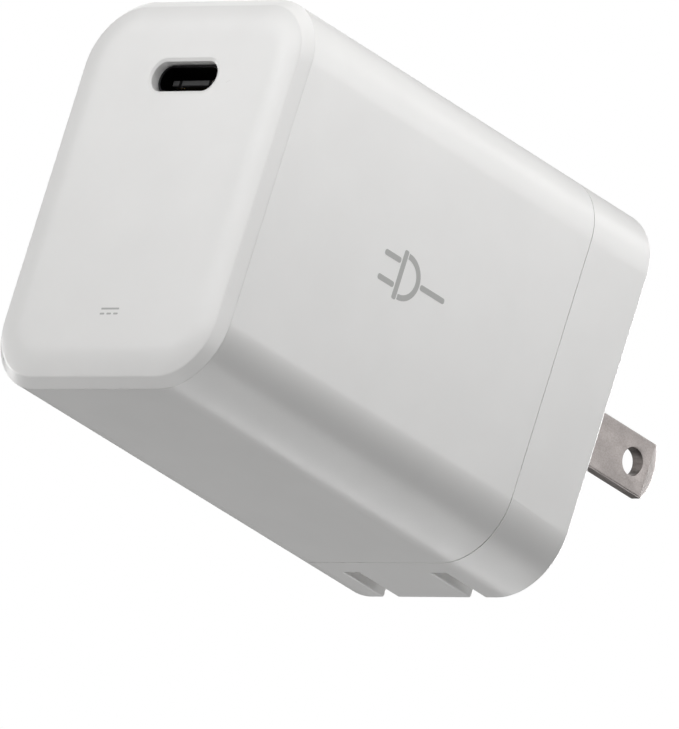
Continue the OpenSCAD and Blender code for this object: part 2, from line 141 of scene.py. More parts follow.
def fillet_path(corners, closed=False, steps=6):
    """A path of (a, b, radius) corners as (a, b) points, with each corner rounded to its radius."""
    points = []
    last = len(corners) - 1
    for i, (a, b, radius) in enumerate(corners):
        if radius == 0 or (not closed and i in (0, last)):
            points.append((a, b))
            continue
        here = Vector((a, b))
        back = (Vector(corners[i - 1][:2]) - here).normalized()
        on = (Vector(corners[(i + 1) % len(corners)][:2]) - here).normalized()
        half = back.angle(on) / 2
        centre = here + (back + on).normalized() * (radius / math.sin(half))
        first = here + back * (radius / math.tan(half)) - centre
        final = here + on * (radius / math.tan(half)) - centre
        turn = math.atan2(first.x * final.y - first.y * final.x, first.dot(final))
        for k in range(steps + 1):
            c, s = math.cos(turn * k / steps), math.sin(turn * k / steps)
            points.append((centre.x + first.x * c - first.y * s, centre.y + first.x * s + first.y * c))
    return points


def ring(shape, inset, y, steps=24):
    """One loop of a rounded rectangle, moved in by inset, in the plane at y."""
    half_w, half_h, radius, mid_z = shape
    r = max(radius - inset, 0.0)
    reach_x, reach_z = half_w - inset - r, half_h - inset - r
    points = []
    for quarter, (sx, sz) in enumerate(((1, 1), (-1, 1), (-1, -1), (1, -1))):
        for px, pz in arc((sx * reach_x, sz * reach_z), r, 90 * quarter, 90 * quarter + 90, steps):
            points.append(Vector((px, y, mid_z + pz)))
    return points


def add_loop(bm, points):
    return [bm.verts.new(p) for p in points]


def loft(bm, loops, closed=False):
    """Faces between each loop of points and the next, and from the last to the first if closed."""
    pairs = list(zip(loops, loops[1:]))
    if closed:
        pairs.append((loops[-1], loops[0]))
    for one, two in pairs:
        for k in range(len(one)):
            n = (k + 1) % len(one)
            bm.faces.new((one[k], one[n], two[n], two[k]))


def fill_between(bm, *loops):
    """Flat faces that fill the outermost loop and leave the loops inside it open."""
    edges = []
    for loop in loops:
        for k, vert in enumerate(loop):
            other = loop[(k + 1) % len(loop)]
            edges.append(bm.edges.get((vert, other)) or bm.edges.new((vert, other)))
    bmesh.ops.triangle_fill(bm, use_beauty=True, use_dissolve=False, edges=edges)


def finish_mesh(name, bm):
    """Turns a bmesh into an object with clean faces that look outward."""
    bmesh.ops.remove_doubles(bm, verts=bm.verts, dist=WELD)
    bmesh.ops.dissolve_degenerate(bm, dist=WELD, edges=bm.edges)
    bmesh.ops.recalc_face_normals(bm, faces=bm.faces)
    mesh = bpy.data.meshes.new(name)
    bm.to_mesh(mesh)
    bm.free()
    piece = bpy.data.objects.new(name, mesh)
    bpy.context.scene.collection.objects.link(piece)
    return piece


def apply_modifiers(piece):
    """Keeps what the modifiers make as the piece's own mesh."""
    bpy.context.view_layer.update()
    evaluated = piece.evaluated_get(bpy.context.evaluated_depsgraph_get())
    made = bpy.data.meshes.new_from_object(evaluated)
    piece.modifiers.clear()
    piece.data = made
    return piece


def smooth(piece, sharp_degrees=35):
    """Smooth shading that follows the large faces and breaks only at hard edges."""
    mesh = piece.data
    mesh.polygons.foreach_set("use_smooth", [True] * len(mesh.polygons))
    mesh.set_sharp_from_angle(angle=math.radians(sharp_degrees))
    weighted = piece.modifiers.new("weighted normals", "WEIGHTED_NORMAL")
    weighted.keep_sharp = True
    return piece


def boolean(piece, tool, operation):
    """Joins a tool to a piece or cuts it out of it, and removes the tool."""
    step = piece.modifiers.new(operation.lower(), "BOOLEAN")
    step.object = tool
    step.operation = operation
    step.solver = "EXACT"
    apply_modifiers(piece)
    bpy.data.objects.remove(tool)


def round_edges(piece, width_of):
    """Rounds each hard edge by the width that width_of(middle) gives it, in metres."""
    least_turn = math.radians(25)
    bm = bmesh.new()
    bm.from_mesh(piece.data)
    bmesh.ops.remove_doubles(bm, verts=bm.verts, dist=WELD)
    widths = {}
    for edge in bm.edges:
        if len(edge.link_faces) == 2 and edge.calc_face_angle(0) > least_turn:
            widths[edge.index] = width_of((edge.verts[0].co + edge.verts[1].co) / 2)
    largest = max(widths.values())
    weights = bm.edges.layers.float.new("bevel_weight_edge")
    for edge in bm.edges:
        edge[weights] = widths.get(edge.index, 0) / largest
    bm.to_mesh(piece.data)
    bm.free()
    bevel = piece.modifiers.new("bevel", "BEVEL")
    bevel.limit_method = "WEIGHT"
    bevel.width = largest
    bevel.segments = 4
    bevel.use_clamp_overlap = False
    bevel.miter_outer = "MITER_ARC"
    return apply_modifiers(piece)


def box_object(name, low, high):
    """A plain block between two corners, to join to a piece or cut out of it."""
    bm = bmesh.new()
    bmesh.ops.create_cube(bm, size=1)
    size = Vector(high) - Vector(low)
    middle = (Vector(high) + Vector(low)) / 2
    bmesh.ops.transform(bm, verts=bm.verts, matrix=Matrix.Translation(middle) @ Matrix.Diagonal((*size, 1)))
    return finish_mesh(name, bm)


def rod_object(name, centre, radius, x0, x1):
    """A cylinder along X about a point (y, z), to cut out of a piece."""
    bm = bmesh.new()
    ends = []
    outline = circle(centre, radius, steps=48)
    for x in (x0, x1):
        ends.append(add_loop(bm, [Vector((x, y, z)) for y, z in outline]))
    loft(bm, ends)
    for end in ends:
        bm.faces.new(end)
    return finish_mesh(name, bm)


# ---------------------------------------------------------------- casing

def build_front_cap():
    """Port face: a soft dome, a bevelled rim, a rounded port opening and the spigot behind."""
    dome_steps, rim_round = 14, 0.45 * MM
    dome = []
    for k in range(dome_steps, 0, -1):
        run = k / dome_steps
        dome.append((BEVEL + DOME_L * run, RIM_Y + (FACE_Y - RIM_Y) * (1 - (1 - run) ** 2), 0))
    face_back = RIM_Y + FACE_T
    ledge_y, ledge_half, ledge_round = CAP_EDGE_Y - FRONT_SEAM, 0.5 * MM, 0.1 * MM
    spigot_end, spigot_round = CAP_EDGE_Y + SPIGOT_L, 0.25 * MM
    path = fillet_path(dome + [
        (BEVEL, RIM_Y, rim_round),
        (0, ledge_y, FRONT_SEAM_EDGE),
        (ledge_half, ledge_y, 0),
        (SPIGOT_IN, ledge_y, ledge_round),
        (SPIGOT_IN, spigot_end, spigot_round),
        (INNER, spigot_end, spigot_round),
        (INNER, face_back, 0)])
    port_margin, lip_round, throat_round = 0.3 * MM, 0.08 * MM, 0.06 * MM
    port_path = fillet_path([
        (-PORT_LIP - port_margin, FACE_Y, 0),
        (-PORT_LIP, FACE_Y, lip_round),
        (0, FACE_Y + PORT_LIP_D, throat_round),
        (0, face_back, 0)])
    bm = bmesh.new()
    shell = [add_loop(bm, ring(BODY, inset, y)) for inset, y in path]
    port = [add_loop(bm, ring(PORT, inset, y, PORT_STEPS)) for inset, y in port_path]
    loft(bm, shell)
    loft(bm, port)
    bmesh.ops.remove_doubles(bm, verts=bm.verts, dist=WELD)
    for y in (FACE_Y, face_back):
        edges = [e for e in bm.edges if e.is_boundary and all(abs(v.co.y - y) < WELD for v in e.verts)]
        bmesh.ops.triangle_fill(bm, use_beauty=True, edges=edges)
    return smooth(finish_mesh("port_face_cap", bm))


def build_sleeve():
    """The long tube between the two parting lines."""
    front, rear, inner_round = CAP_EDGE_Y + FRONT_SEAM, CAP_Y - REAR_SEAM, 0.2 * MM
    path = fillet_path([(0, front, FRONT_SEAM_EDGE), (0, rear, SEAM_EDGE),
                        (WALL, rear, inner_round), (WALL, front, inner_round)], closed=True)
    bm = bmesh.new()
    loft(bm, [add_loop(bm, ring(BODY, inset, y)) for inset, y in path], closed=True)
    return smooth(finish_mesh("body_sleeve", bm))


def rear_cap_edge_width(middle):
    """How far each hard edge of the rear cap is rounded, by the place of its middle."""
    face_round, slot_round = 0.3 * MM, 0.2 * MM
    on_face = abs(middle.y) < WELD
    on_underside = abs(middle.z + HALF_H) < WELD
    from_slot = min(abs(middle.x - BLADE_X), abs(middle.x + BLADE_X))
    in_slot = from_slot < SLOT_HALF_W + WELD and middle.z < SLOT_TOP + WELD
    if on_face and not in_slot:
        return face_round
    if in_slot and (on_face or on_underside):
        return slot_round
    if abs(middle.y - (CAP_Y + REAR_SEAM)) < WELD and ring_inset(middle) < WELD:
        return SEAM_EDGE
    return 0


def ring_inset(point):
    """How far a point lies inside the body's outline, seen along Y."""
    dx = max(abs(point.x) - (HALF_W - CORNER_R), 0)
    dz = max(abs(point.z) - (HALF_H - CORNER_R), 0)
    return CORNER_R - math.hypot(dx, dz)


def build_rear_cap():
    """Wall-side cap with two closed slots, the walls beside them and the spigot in front."""
    bm = bmesh.new()
    spigot_y = rear_low.y
    path = [(INNER, -BACK_WALL), (INNER, spigot_y), (SPIGOT_IN, spigot_y), (SPIGOT_IN, CAP_Y + REAR_SEAM),
            (0, CAP_Y + REAR_SEAM), (0, 0)]
    loops = [add_loop(bm, ring(BODY, inset, y)) for inset, y in path]
    loft(bm, loops)
    bm.faces.new(loops[0])
    bm.faces.new(loops[-1])
    cap = finish_mesh("wall_side_cap", bm)
    rib_t, rib_y, rib_top, trough_top = 0.9 * MM, -SLOT_D - 0.8 * MM, 5.5 * MM, -4.2 * MM
    rib_low = -HALF_H + 1 * MM         # inside the bottom wall
    reach = SLOT_HALF_W + rib_t
    lap = 0.3 * MM
    for side in (-1, 1):
        x = side * BLADE_X
        block = box_object("block", (x - reach, rib_y, rib_low), (x + reach, -BACK_WALL + lap, rib_top))
        boolean(cap, block, "UNION")
    for side in (-1, 1):
        left, right = side * BLADE_X - SLOT_HALF_W, side * BLADE_X + SLOT_HALF_W
        slot = box_object("slot", (left, -SLOT_D, -HALF_H - OVER), (right, OVER, SLOT_TOP))
        boolean(cap, slot, "DIFFERENCE")
        mouth = box_object("mouth", (left, rib_y - OVER, trough_top),
                           (right, -BACK_WALL - lap, rib_top + OVER))
        boolean(cap, mouth, "DIFFERENCE")
    bearing_r, bearing_reach = 1.9 * MM, 10 * MM
    bearing = rod_object("bearing", (PIVOT_Y, 0), bearing_r, -bearing_reach, bearing_reach)
    boolean(cap, bearing, "DIFFERENCE")
    throat = box_object("throat", (-bearing_reach, rib_y - OVER, -bearing_r),
                        (bearing_reach, PIVOT_Y, bearing_r))
    boolean(cap, throat, "DIFFERENCE")
    return smooth(round_edges(cap, rear_cap_edge_width))


# ---------------------------------------------------------------- prongs

TIP_R = 4.5 * MM                   # arch of the tip, seen from the side
TIP_SLOPE_L = 1.4 * MM             # length of the slopes that thin the tip
TIP_SLOPE_T = 0.45 * MM            # how much each slope takes off
ROOT_TAIL_R = 4.4 * MM             # reach of the contact tail from the pivot
ROOT_TAIL_HALF = 1.5 * MM          # half its width


def blade_outline(inset):
    """Side view of a blade as (y, z): arched tip, straight shank, round root and contact tail."""
    tip_r, root_r = TIP_R - inset, BLADE_HALF_W - inset
    tail_r, tail_half = ROOT_TAIL_R - inset, ROOT_TAIL_HALF - inset
    shoulder = math.degrees(math.asin(root_r / tip_r))
    root = math.degrees(math.asin(tail_half / root_r))
    tail = math.degrees(math.asin(tail_half / tail_r))
    pivot = (PIVOT_Y, 0)
    return (arc((BLADE_TIP - TIP_R, 0), tip_r, shoulder, -shoulder, steps=28)
            + arc(pivot, root_r, -90, -180 + root, steps=12)
            + arc(pivot, tail_r, -180 + tail, -180 - tail, steps=6)
            + arc(pivot, root_r, -180 - root, -270, steps=12))


def edge_round(half, radius):
    """Steps (inset, x) of a rounded edge on both sides of a plate, from its -X face to its +X face."""
    steps = 7
    turn = [math.pi / 2 * k / steps for k in range(steps + 1)]
    right = [(radius * (1 - math.cos(t)), half - radius + radius * math.sin(t)) for t in turn]
    return [(inset, -x) for inset, x in reversed(right)] + right


def build_blade(name, x):
    """Stamped blade: rounded edges, a hole, a square drive hole and two slopes that thin the tip."""
    half, edge_r, hole_edge = BLADE_T / 2, 0.15 * MM, 0.06 * MM
    drive, sharp_degrees = 1.2 * MM, 14
    bm = bmesh.new()

    def loops_of(path_at, steps):
        return [add_loop(bm, [Vector((px, y, z)) for y, z in path_at(inset)]) for inset, px in steps]

    def hole_at(inset):
        return circle((HOLE_Y, 0), HOLE_R + inset, steps=64)

    def drive_at(inset):
        return [(PIVOT_Y + sy * drive, sz * drive) for sy, sz in ((1, 1), (-1, 1), (-1, -1), (1, -1))]

    walls = [loops_of(blade_outline, edge_round(half, edge_r)),
             loops_of(hole_at, edge_round(half, hole_edge)),
             loops_of(drive_at, [(0, -half), (0, half)])]
    for wall in walls:
        loft(bm, wall)
    for end in (0, -1):
        fill_between(bm, *[wall[end] for wall in walls])
    slope_y = BLADE_TIP - TIP_SLOPE_L
    bmesh.ops.bisect_plane(bm, geom=bm.verts[:] + bm.edges[:] + bm.faces[:], dist=WELD,
                           plane_co=(0, slope_y, 0), plane_no=(0, 1, 0))
    for vert in bm.verts:
        past = max(vert.co.y - slope_y, 0) / TIP_SLOPE_L
        vert.co.x *= 1 - past * TIP_SLOPE_T / half
        vert.co.x += x
    return smooth(finish_mesh(name, bm), sharp_degrees)


# ---------------------------------------------------------------- receptacle

def build_usb_shell():
    """Drawn steel shell of the receptacle, with a rolled mouth; its near-black colour is painted shade for the
    inside of the port.
    """
    sheet, mouth_round = 0.3 * MM, 0.12 * MM
    front, back = shell_low.y, insulator_high.y
    path = fillet_path([(0, front, mouth_round), (0, back, 0), (sheet, back, 0), (sheet, front, mouth_round)],
                       closed=True, steps=4)
    bm = bmesh.new()
    loft(bm, [add_loop(bm, ring(SHELL, inset, y, PORT_STEPS)) for inset, y in path], closed=True)
    return smooth(finish_mesh("receptacle_shell", bm))


def lofted(name, shape, path, steps):
    """A closed solid through rounded outlines: path is a list of (inset, y)."""
    bm = bmesh.new()
    loops = [add_loop(bm, ring(shape, inset, y, steps)) for inset, y in path]
    loft(bm, loops)
    bm.faces.new(loops[0])
    bm.faces.new(loops[-1])
    return finish_mesh(name, bm)


def build_usb_insulator():
    """Rear wall of the receptacle and the tongue, with a stepped root and a bevelled nose."""
    base_l, base_edge = 1.4 * MM, 0.08 * MM
    tongue_half_w, tongue_half_t, tongue_r, root_lap = 3.345 * MM, 0.35 * MM, 0.12 * MM, 0.3 * MM
    collar_half_t = 0.62 * MM
    notch_x, notch_half, notch_d, notch_reach = 2.15 * MM, 0.2 * MM, 0.35 * MM, 1 * MM
    half_t = (insulator_high.z - insulator_low.z) / 2
    nose, base_y = insulator_low.y, insulator_high.y - base_l
    base = lofted("receptacle_insulator", (insulator_high.x, half_t, half_t, PORT_Z),
                  [(base_edge, base_y), (0, base_y + base_edge), (0, insulator_high.y)], steps=12)
    nose_bevel = [(0.11 * MM, nose), (0.03 * MM, nose + 0.06 * MM), (0, nose + 0.16 * MM)]
    tongue = lofted("tongue", (tongue_half_w, tongue_half_t, tongue_r, PORT_Z),
                    nose_bevel + [(0, base_y + root_lap)], steps=4)
    boolean(base, tongue, "UNION")
    for side in (-1, 1):
        middle_x = side * notch_x
        notch = box_object("notch", (middle_x - notch_half, nose - notch_d, PORT_Z - notch_reach),
                           (middle_x + notch_half, nose + notch_d, PORT_Z + notch_reach))
        boolean(base, notch, "DIFFERENCE")
    collar = box_object("collar", (-tongue_half_w, base_y - COLLAR_L, PORT_Z - collar_half_t),
                        (tongue_half_w, base_y + root_lap, PORT_Z + collar_half_t))
    boolean(base, collar, "UNION")
    return smooth(base)


def build_usb_contacts():
    """Two rows of flat contacts on the tongue."""
    per_row, pitch, width, thickness = 12, 0.5 * MM, 0.24 * MM, 0.05 * MM
    front, back = contacts_low.y, contacts_high.y - COLLAR_L
    outer = contacts_high.z - PORT_Z
    bm = bmesh.new()
    for side in (-1, 1):
        for k in range(per_row):
            x = (k - (per_row - 1) / 2) * pitch
            middle = Vector((x, (front + back) / 2, PORT_Z + side * (outer - thickness / 2)))
            size = Matrix.Diagonal((width, back - front, thickness, 1))
            contact = bmesh.ops.create_cube(bm, size=1)["verts"]
            bmesh.ops.transform(bm, verts=contact, matrix=Matrix.Translation(middle) @ size)
    return smooth(finish_mesh("receptacle_contacts", bm))


# ---------------------------------------------------------------- printed marks

INK_LOW = 0.002 * MM               # the ink's lower face above the body
INK_HIGH = 0.012 * MM              # and its upper face


def printed_mark(name, paths, place):
    """Thin ink shapes. Each path is a closed loop of (u, v) in millimetres.

    place(u, v, lift) puts a point of it on the body, in metres."""
    bm = bmesh.new()
    for path in paths:
        low = add_loop(bm, [place(u * MM, v * MM, INK_LOW) for u, v in path])
        high = add_loop(bm, [place(u * MM, v * MM, INK_HIGH) for u, v in path])
        loft(bm, [low, high])
        bm.faces.new(low)
        bm.faces.new(high)
    return finish_mesh(name, bm)


def bar(u0, v0, u1, v1, r):
    """A bar with rounded corners, as a closed loop."""
    return fillet_path([(u0, v0, r), (u1, v0, r), (u1, v1, r), (u0, v1, r)], closed=True, steps=5)


def half_ring(centre, outer, inner):
    """Half of a flat ring that opens towards -u, as a closed loop."""
    steps = 20
    return arc(centre, outer, -90, 90, steps) + arc(centre, inner, 90, -90, steps)


def build_side_mark():
    """A generic plug pictogram on the right-hand side: two pins, a plate, a bow and a cord."""
    mid_y = -31.3 * MM
    line, line_round = 0.62, 0.25
    pin_start, pin_end, pin_v = -4.9, -2.4, 1.05
    plate_u, plate_half, plate_round = -2.25, 2.7, 0.2
    bow_u, bow_r = -1.5, 2.55
    cord_start, cord_end = 1.2, 5
    paths = [
        bar(pin_start, pin_v, pin_end, pin_v + line, line_round),
        bar(pin_start, -pin_v - line, pin_end, -pin_v, line_round),
        bar(plate_u, -plate_half, plate_u + line, plate_half, plate_round),
        half_ring((bow_u, 0), bow_r, bow_r - line),
        bar(cord_start, -line / 2, cord_end, line / 2, line_round)]

    def place(u, v, lift):
        return Vector((HALF_W + lift, mid_y + u, v))

    return printed_mark("side_print", paths, place)


def build_front_mark():
    """The generic symbol for direct current under the port: a bar over three dashes."""
    mid_z = -13.7 * MM
    half_line, line_round = 0.1, 0.08
    row_v, half_bar = 0.28, 1.3
    dash_pitch, half_dash = 0.98, 0.32
    paths = [bar(-half_bar, row_v - half_line, half_bar, row_v + half_line, line_round)]
    for k in (-1, 0, 1):
        u = k * dash_pitch
        paths.append(bar(u - half_dash, -row_v - half_line, u + half_dash, -row_v + half_line, line_round))

    def place(u, v, lift):
        return Vector((u, FACE_Y - lift, mid_z + v))

    return printed_mark("front_print", paths, place)


# ---------------------------------------------------------------- materials

class Nodes:
    """Short calls that add and join shader nodes."""

    def __init__(self, name):
        self.material = bpy.data.materials.new(name)
        self.material.use_nodes = True
        self.tree = self.material.node_tree
        self.tree.nodes.clear()
        self.output = self.add("ShaderNodeOutputMaterial")
        self.shader = self.add("ShaderNodeBsdfPrincipled")
        self.link(self.shader, "BSDF", self.output, "Surface")
        self.place = self.add("ShaderNodeTexCoord")

    def add(self, kind, **values):
        node = self.tree.nodes.new(kind)
        for key, value in values.items():
            if key in node.inputs:
                node.inputs[key].default_value = value
            else:
                setattr(node, key, value)
        return node

    def link(self, source, out, target, into):
        self.tree.links.new(source.outputs[out], target.inputs[into])

    def noise(self, size_mm, detail=2.0, roughness=0.5, stretch=(1, 1, 1)):
        """Noise whose features are about size_mm across, stretched by axis."""
        mapping = self.add("ShaderNodeMapping")
        mapping.inputs["Scale"].default_value = [1 / (size_mm * MM * s) for s in stretch]
        self.link(self.place, "Object", mapping, "Vector")
        texture = self.add("ShaderNodeTexNoise", Scale=1.0, Detail=detail, Roughness=roughness)
        self.link(mapping, "Vector", texture, "Vector")
        return texture

    def remap(self, source, out, low=0.0, high=1.0, from_low=0.3, from_high=0.7):
        """Takes from_low..from_high to low..high; as given, it spreads the usual range of noise."""
        node = self.add("ShaderNodeMapRange")
        node.inputs["From Min"].default_value = from_low
        node.inputs["From Max"].default_value = from_high
        node.inputs["To Min"].default_value = low
        node.inputs["To Max"].default_value = high
        self.link(source, out, node, "Value")
        return node

    def mix_colour(self, factor, one, two):
        node = self.add("ShaderNodeMix", data_type="RGBA")
        self.link(factor, "Result", node, "Factor")
        node.inputs["A"].default_value = one
        node.inputs["B"].default_value = two
        return node

    def bump(self, source, out, depth_mm, before=None):
        """Relief of the given depth, on top of the relief before it."""
        node = self.add("ShaderNodeBump", Strength=1.0, Distance=depth_mm * MM)
        self.link(source, out, node, "Height")
        if before is not None:
            self.link(before, "Normal", node, "Normal")
        return node


def tinted(colour, factor):
    """An opaque colour, made lighter or darker."""
    return (*[min(c * factor, 1.0) for c in colour[:3]], 1)


def plastic(name, colour, roughness, grain_mm=0.16, grain_depth_mm=0.0006, mottle=0.015, edge_polish=0.0):
    """Moulded plastic: fine spark-eroded grain, slow colour drift and slightly polished edges."""
    n = Nodes(name)
    drift = n.remap(n.noise(size_mm=9.0, detail=3.0), "Fac")
    shade = n.mix_colour(drift, tinted(colour, 1 - mottle), tinted(colour, 1 + mottle))
    n.link(shade, "Result", n.shader, "Base Color")
    spread = 0.03
    patch = n.noise(size_mm=2.6, detail=4.0, roughness=0.6)
    rough = n.remap(patch, "Fac", low=roughness - spread, high=roughness + spread)
    if edge_polish:
        shape = n.add("ShaderNodeNewGeometry")
        worn = n.remap(shape, "Pointiness", from_low=0.52, from_high=0.60)
        polish = n.add("ShaderNodeMath", operation="MULTIPLY_ADD")
        n.link(worn, "Result", polish, 0)
        polish.inputs[1].default_value = -edge_polish
        n.link(rough, "Result", polish, 2)
        n.link(polish, "Value", n.shader, "Roughness")
    else:
        n.link(rough, "Result", n.shader, "Roughness")
    fine = n.noise(grain_mm, detail=3.0, roughness=0.6)
    wave = n.noise(size_mm=14.0, detail=1.0)
    grain = n.bump(fine, "Fac", grain_depth_mm)
    flow = n.bump(wave, "Fac", depth_mm=0.01, before=grain)
    n.link(flow, "Normal", n.shader, "Normal")
    return n.material


def metal(name, colour, roughness, grain_mm, depth_mm, stretch, speck):
    """Plated or rolled metal: grain in colour, roughness and relief, longer along the rolling direction."""
    n = Nodes(name)
    n.shader.inputs["Metallic"].default_value = 1.0
    grain = n.noise(grain_mm, detail=4.0, roughness=0.65, stretch=stretch)
    shade = n.mix_colour(n.remap(grain, "Fac"), tinted(colour, 1 - speck), tinted(colour, 1 + speck))
    n.link(shade, "Result", n.shader, "Base Color")
    blotch = n.noise(grain_mm * 12, detail=3.0, roughness=0.6, stretch=stretch)
    rough = n.remap(blotch, "Fac", low=roughness - 0.05, high=roughness + 0.06)
    n.link(rough, "Result", n.shader, "Roughness")
    relief = n.bump(grain, "Fac", depth_mm)
    n.link(relief, "Normal", n.shader, "Normal")
    return n.material


def wound(name, colour, roughness, pitch_mm, metallic, depth_mm):
    """Turns of wire or tape along X: round ridges at a fixed pitch, with small differences between turns."""
    turns_per_unit = 20 / math.tau         # of a wave texture of scale 1
    n = Nodes(name)
    n.shader.inputs["Metallic"].default_value = metallic
    mapping = n.add("ShaderNodeMapping")
    mapping.inputs["Scale"].default_value = [1 / MM] * 3
    n.link(n.place, "Object", mapping, "Vector")
    turns = n.add("ShaderNodeTexWave", bands_direction="X", Distortion=0.4,
                  Scale=1 / (turns_per_unit * pitch_mm))
    n.link(mapping, "Vector", turns, "Vector")
    drift = n.remap(n.noise(size_mm=1.7, detail=3.0), "Fac")
    shade = n.mix_colour(drift, tinted(colour, 0.82), tinted(colour, 1.12))
    n.link(shade, "Result", n.shader, "Base Color")
    rough = n.remap(turns, "Fac", low=roughness + 0.1, high=roughness - 0.05, from_low=0, from_high=1)
    n.link(rough, "Result", n.shader, "Roughness")
    relief = n.bump(turns, "Fac", depth_mm)
    n.link(relief, "Normal", n.shader, "Normal")
    return n.material


def board(name, colour):
    """Circuit board: solder mask with copper areas showing as lighter, raised cells between thin gaps."""
    cell_mm = 3.2
    n = Nodes(name)
    mapping = n.add("ShaderNodeMapping")
    mapping.inputs["Scale"].default_value = [1 / (cell_mm * MM)] * 3
    n.link(n.place, "Object", mapping, "Vector")
    cells = n.add("ShaderNodeTexVoronoi", feature="DISTANCE_TO_EDGE")
    n.link(mapping, "Vector", cells, "Vector")
    copper = n.remap(cells, "Distance", from_low=0.04, from_high=0.07)
    shade = n.mix_colour(copper, tinted(colour, 0.7), tinted(colour, 1.25))
    n.link(shade, "Result", n.shader, "Base Color")
    weave = n.noise(size_mm=0.4, detail=2.0)
    n.link(n.remap(weave, "Fac", low=0.28, high=0.4), "Result", n.shader, "Roughness")
    raised = n.bump(copper, "Result", depth_mm=0.035)
    woven = n.bump(weave, "Fac", depth_mm=0.004, before=raised)
    n.link(woven, "Normal", n.shader, "Normal")
    return n.material


def moulded(roughness, grain_mm, grain_depth_mm, mottle, colour=None):
    """The finish of a plastic, ferrite or ceramic slot."""
    return plastic, dict(colour=colour, roughness=roughness, grain_mm=grain_mm,
                         grain_depth_mm=grain_depth_mm, mottle=mottle)


def rolled(roughness, grain_mm, depth_mm, stretch, speck, colour=None):
    """The finish of a metal slot."""
    return metal, dict(colour=colour, roughness=roughness, grain_mm=grain_mm, depth_mm=depth_mm,
                       stretch=stretch, speck=speck)


# How each slot is made. A slot that has no colour here takes the record's. The numbers of moulded() are
# roughness, grain in mm, depth of grain in mm and mottle; those of rolled() are roughness, grain in mm,
# depth of grain in mm, stretch of the grain by axis and strength of its specks.
FINISHES = {
    "casing_plastic": (plastic, dict(colour=(0.80, 0.795, 0.785), roughness=0.33, edge_polish=0.04)),
    "bracket_plastic": moulded(0.5, 0.2, 0.001, 0.015),
    "carrier_plastic": moulded(0.5, 0.2, 0.001, 0.1),
    "nickel_plate": rolled(0.43, 0.13, 0.003, (1, 1.6, 1), 0.14, colour=(0.36, 0.33, 0.318)),
    "spring_bronze": rolled(0.3, 0.2, 0.002, (1, 1, 8), 0.12),
    "spring_steel": rolled(0.25, 0.2, 0.002, (1, 1, 8), 0.12),
    # the receptacle steel is set near black: painted shade for the inside of the port, far darker than steel
    "receptacle_steel": rolled(0.45, 0.25, 0.001, (1, 6, 1), 0.12, colour=(0.018, 0.018, 0.019)),
    "receptacle_plastic": moulded(0.6, 0.2, 0.001, 0.1, colour=(0.010, 0.010, 0.011)),
    "gold_plate": rolled(0.22, 0.3, 0.0005, (1, 5, 1), 0.05),
    "board_laminate": (board, {}),
    "chip_epoxy": moulded(0.55, 0.12, 0.002, 0.12),
    "opto_plastic": moulded(0.45, 0.15, 0.001, 0.03),
    "ferrite": moulded(0.5, 0.3, 0.006, 0.15),
    "choke_ferrite": moulded(0.35, 0.8, 0.004, 0.1),
    "copper_wire": (wound, dict(roughness=0.25, pitch_mm=0.35, metallic=1.0, depth_mm=0.06)),
    "copper_sheet": rolled(0.28, 0.3, 0.002, (1, 8, 1), 0.12),
    "winding_tape": (wound, dict(roughness=0.25, pitch_mm=4.0, metallic=0.0, depth_mm=0.03)),
    "bobbin_plastic": moulded(0.5, 0.2, 0.001, 0.1),
    "capacitor_sleeve": moulded(0.22, 1.2, 0.004, 0.08),
    "can_aluminium": rolled(0.25, 0.3, 0.001, (8, 1, 1), 0.06),
    "film_box": moulded(0.35, 0.25, 0.001, 0.05),
    "ceramic_blue": moulded(0.2, 0.9, 0.01, 0.08),
    "ceramic_green": moulded(0.25, 0.9, 0.01, 0.08),
    "fuse_body": moulded(0.45, 0.15, 0.001, 0.1),
    "solder": rolled(0.2, 0.6, 0.004, (1, 1, 1), 0.05),
    "thermal_silicone": moulded(0.7, 0.3, 0.01, 0.06),
    "insulating_film": moulded(0.25, 2.5, 0.01, 0.04),
    "wire_brown": moulded(0.4, 0.3, 0.001, 0.06),
    "wire_blue": moulded(0.4, 0.3, 0.001, 0.06),
    "grey_ink": moulded(0.5, 0.12, 0.001, 0.04, colour=(0.44, 0.44, 0.432)),
}


def make_materials():
    """One material for each slot."""
    recorded = {m["slot"]: m["base_color"] for m in frame["record"]["materials"]}
    made = {}
    for slot, (maker, finish) in FINISHES.items():
        colour = finish.get("colour") or recorded[slot]
        made[slot] = maker(slot, **{**finish, "colour": colour})
    return made


materials = make_materials()


def dress(piece, slot, body, *nodes):
    """Gives a piece its material, its body and the CAD nodes that it stands for."""
    piece.data.materials.clear()
    piece.data.materials.append(materials[slot])
    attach(piece, body)
    if nodes:
        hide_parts(*nodes)


def soften(node):
    """A carried-over CAD node keeps its mesh; modifiers give it fine rounded edges."""
    weld = node.modifiers.new("weld", "WELD")
    weld.merge_threshold = CAD_WELD
    flat = node.modifiers.new("flat faces", "DECIMATE")
    flat.decimate_type = "DISSOLVE"
    flat.angle_limit = math.radians(1)
    bevel = node.modifiers.new("bevel", "BEVEL")
    bevel.limit_method = "ANGLE"
    bevel.angle_limit = math.radians(40)
    bevel.width = 0.06 * MM
    bevel.segments = 2
    # where the bevels of close edges meet, corners can fall on one point: this merges them
    meeting = node.modifiers.new("meeting corners", "WELD")
    meeting.merge_threshold = WELD
    weighted = node.modifiers.new("weighted normals", "WEIGHTED_NORMAL")
    weighted.keep_sharp = True


# ---------------------------------------------------------------- build

